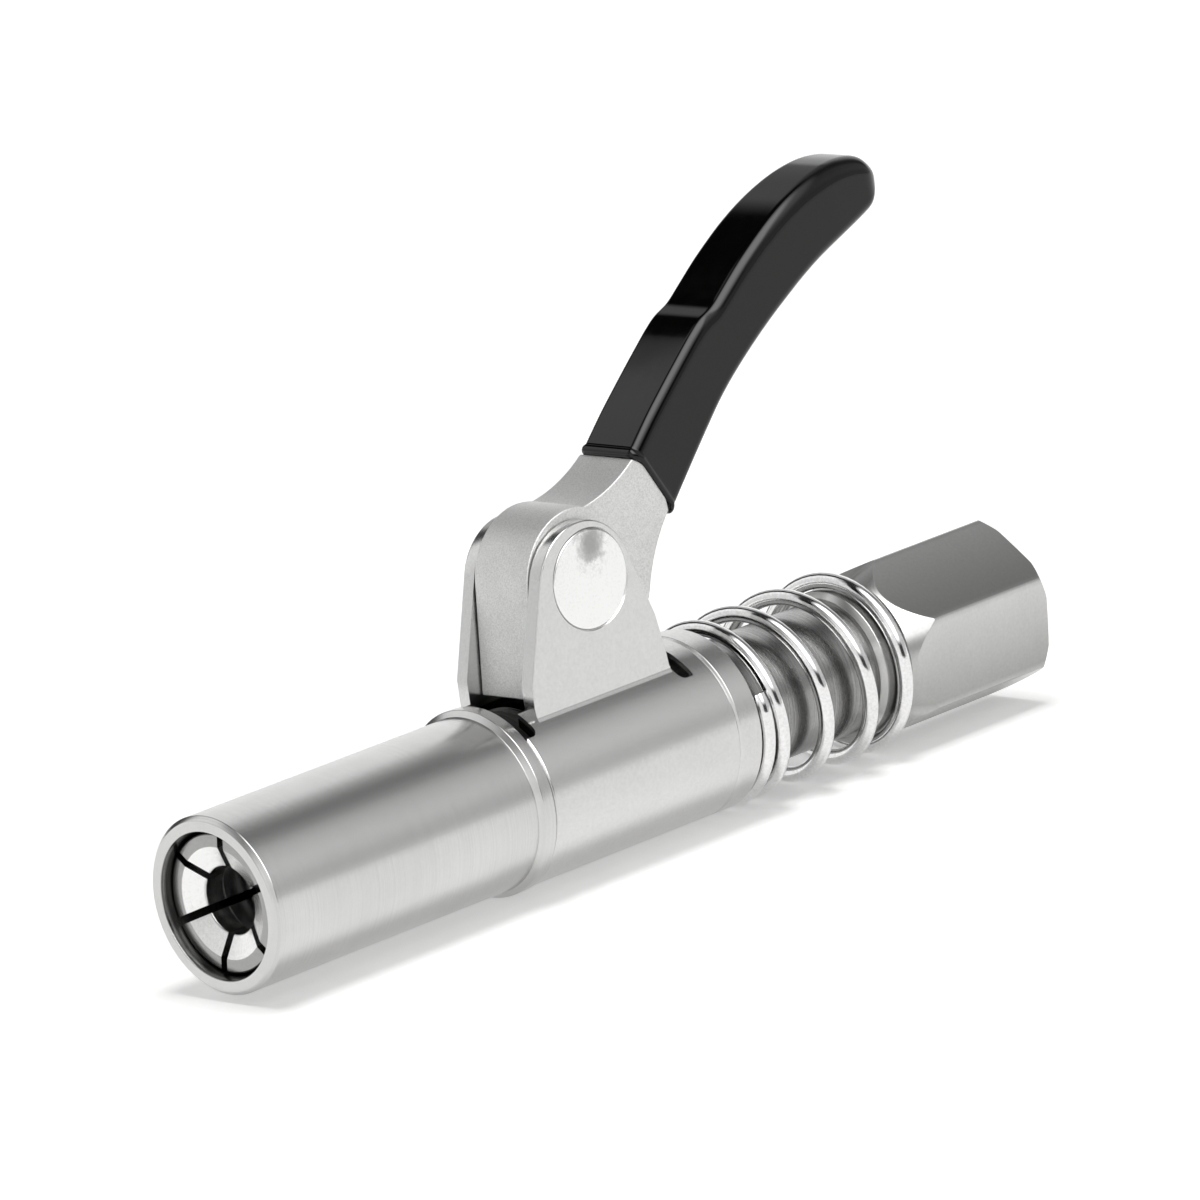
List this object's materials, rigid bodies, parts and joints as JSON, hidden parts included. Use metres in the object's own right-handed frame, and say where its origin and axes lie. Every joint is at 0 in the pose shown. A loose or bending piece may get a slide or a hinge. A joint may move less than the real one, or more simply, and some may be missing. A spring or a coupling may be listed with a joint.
{
  "type": "grease coupler",
  "caption": "Quick-lock grease coupler: spring-closed sleeve over split jaws, thumb lever that draws the sleeve back, hex body with a hose port.",
  "frame": {"origin": "centre of the hose port's mouth, on the coupler's own axis", "axes": "+X out of the hose port along the tool's axis (the nose looks towards -X); +Z is the side on which the lever stands; +Y completes the frame"},
  "size_m": [0.0995, 0.0176, 0.0551],
  "materials": {
    "sleeve_nickel": "satin nickel plate over turned steel",
    "core_steel": "finely turned steel, lightly plated",
    "jaw_steel": "hardened and ground steel",
    "lever_steel": "sintered steel, bead-blasted and nickel plated",
    "pin_steel": "ground pin, riveted flush",
    "spring_steel": "bright plated wire",
    "grip_black": "glossy dipped vinyl",
    "seal_rubber": "smooth nitrile rubber"
  },
  "bodies": {
    "core": {"hex_body": "core_steel", "jaw_holder": "core_steel", "stop_ring": "spring_steel", "main_spring": "spring_steel", "jaw_band": "seal_rubber", "tube_o_ring": "seal_rubber", "valve_spring": "spring_steel"},
    "sleeve": {"nose_sleeve": "sleeve_nickel", "yoke": "sleeve_nickel", "rear_collar": "sleeve_nickel", "pivot_pin": "pin_steel"},
    "lever": {"lever_arm": "lever_steel", "lever_grip": "grip_black"},
    "seal_pack": {"nozzle_seal": "seal_rubber", "seal_cup": "core_steel", "feed_tube": "core_steel"},
    "ball": {"check_ball": "spring_steel"},
    "jaw_1": {"jaw_1": "jaw_steel"},
    "jaw_2": {"jaw_2": "jaw_steel"},
    "jaw_3": {"jaw_3": "jaw_steel"},
    "jaw_4": {"jaw_4": "jaw_steel"},
    "jaw_5": {"jaw_5": "jaw_steel"},
    "jaw_6": {"jaw_6": "jaw_steel"}
  },
  "joints": [
    {"name": "sleeve_slide", "type": "slide", "parent": "core", "child": "sleeve", "axis": [1, 0, 0], "range_m": [0, 0.0042], "stiffness_N_per_m": 3600, "springref_m": -0.008, "deforming": ["main_spring"]},
    {"name": "lever_pivot", "type": "hinge", "parent": "sleeve", "child": "lever", "pos_m": [-0.05418, 0, 0.01778], "axis": [0, 1, 0], "range_deg": [0, 20]},
    {"name": "seal_slide", "type": "slide", "parent": "core", "child": "seal_pack", "axis": [1, 0, 0], "range_m": [0, 0.0012], "stiffness_N_per_m": 900, "springref_m": -0.003, "deforming": ["valve_spring"]},
    {"name": "ball_lift", "type": "slide", "parent": "core", "child": "ball", "axis": [-1, 0, 0], "range_m": [0, 0.0008], "stiffness_N_per_m": 900, "springref_m": -0.003, "deforming": ["valve_spring"]},
    {"name": "jaw_1_tilt", "type": "hinge", "parent": "core", "child": "jaw_1", "pos_m": [-0.077, -0.00293, 0.00355], "axis": [0, 0.7716, 0.6361], "range_deg": [0, 3]},
    {"name": "jaw_2_tilt", "type": "hinge", "parent": "core", "child": "jaw_2", "pos_m": [-0.077, -0.00454, -0.00076], "axis": [0, -0.165, 0.9863], "range_deg": [0, 3]},
    {"name": "jaw_3_tilt", "type": "hinge", "parent": "core", "child": "jaw_3", "pos_m": [-0.077, -0.00161, -0.00431], "axis": [0, -0.9367, 0.3502], "range_deg": [0, 3]},
    {"name": "jaw_4_tilt", "type": "hinge", "parent": "core", "child": "jaw_4", "pos_m": [-0.077, 0.00293, -0.00355], "axis": [0, -0.7716, -0.6361], "range_deg": [0, 3]},
    {"name": "jaw_5_tilt", "type": "hinge", "parent": "core", "child": "jaw_5", "pos_m": [-0.077, 0.00454, 0.00076], "axis": [0, 0.165, -0.9863], "range_deg": [0, 3]},
    {"name": "jaw_6_tilt", "type": "hinge", "parent": "core", "child": "jaw_6", "pos_m": [-0.077, 0.00161, 0.00431], "axis": [0, 0.9367, -0.3502], "range_deg": [0, 3]}
  ],
  "couplings": [
    {"joint": "lever_pivot", "follows": "sleeve_slide", "rad_per_m": 81.967},
    {"joint": "jaw_1_tilt", "follows": "sleeve_slide", "rad_per_m": 10.5},
    {"joint": "jaw_2_tilt", "follows": "sleeve_slide", "rad_per_m": 10.5},
    {"joint": "jaw_3_tilt", "follows": "sleeve_slide", "rad_per_m": 10.5},
    {"joint": "jaw_4_tilt", "follows": "sleeve_slide", "rad_per_m": 10.5},
    {"joint": "jaw_5_tilt", "follows": "sleeve_slide", "rad_per_m": 10.5},
    {"joint": "jaw_6_tilt", "follows": "sleeve_slide", "rad_per_m": 10.5}
  ]
}
